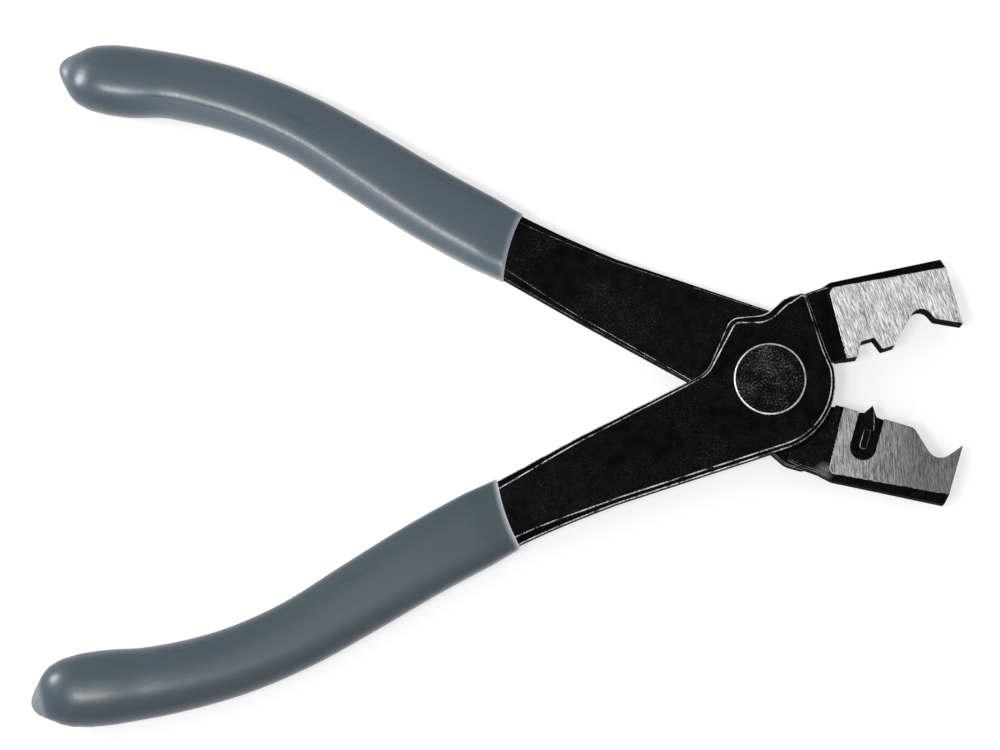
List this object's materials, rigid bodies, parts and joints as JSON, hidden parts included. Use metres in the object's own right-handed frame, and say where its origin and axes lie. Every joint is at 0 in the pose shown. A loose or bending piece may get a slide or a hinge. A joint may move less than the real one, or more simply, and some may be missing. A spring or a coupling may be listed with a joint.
{
  "type": "hose clamp pliers",
  "caption": "Hand pliers with a riveted lap joint, dipped grips, ground jaws with shaped mouths and a pointed tooth set in one jaw, for spring hose clamps.",
  "frame": {"origin": "on the pivot's axis, at table level, with the pliers lying flat and fully open", "axes": "+X from the pivot towards the jaws, +Y towards the front lever's jaw, +Z along the pivot, up from the table"},
  "size_m": [0.1669, 0.1238, 0.0097],
  "materials": {
    "front_forging": "black oxide on forged steel, with the jaw faces ground bright",
    "rear_forging": "black oxide on forged steel, with the jaw faces ground bright",
    "rivet_steel": "dark oxide with a worn bright rim",
    "tooth_steel": "black oxide",
    "dipped_vinyl": "smooth slate blue-grey dip with soft gloss"
  },
  "bodies": {
    "front_half": {"front_lever": "front_forging", "pivot_rivet": "rivet_steel", "front_grip": "dipped_vinyl"},
    "rear_half": {"rear_lever": "rear_forging", "tooth_insert": "tooth_steel", "rear_grip": "dipped_vinyl"}
  },
  "joints": [
    {"name": "pivot", "type": "hinge", "parent": "front_half", "child": "rear_half", "pos_m": [0, 0, 0.00485], "axis": [0, 0, 1], "range_deg": [0, 32]}
  ]
}
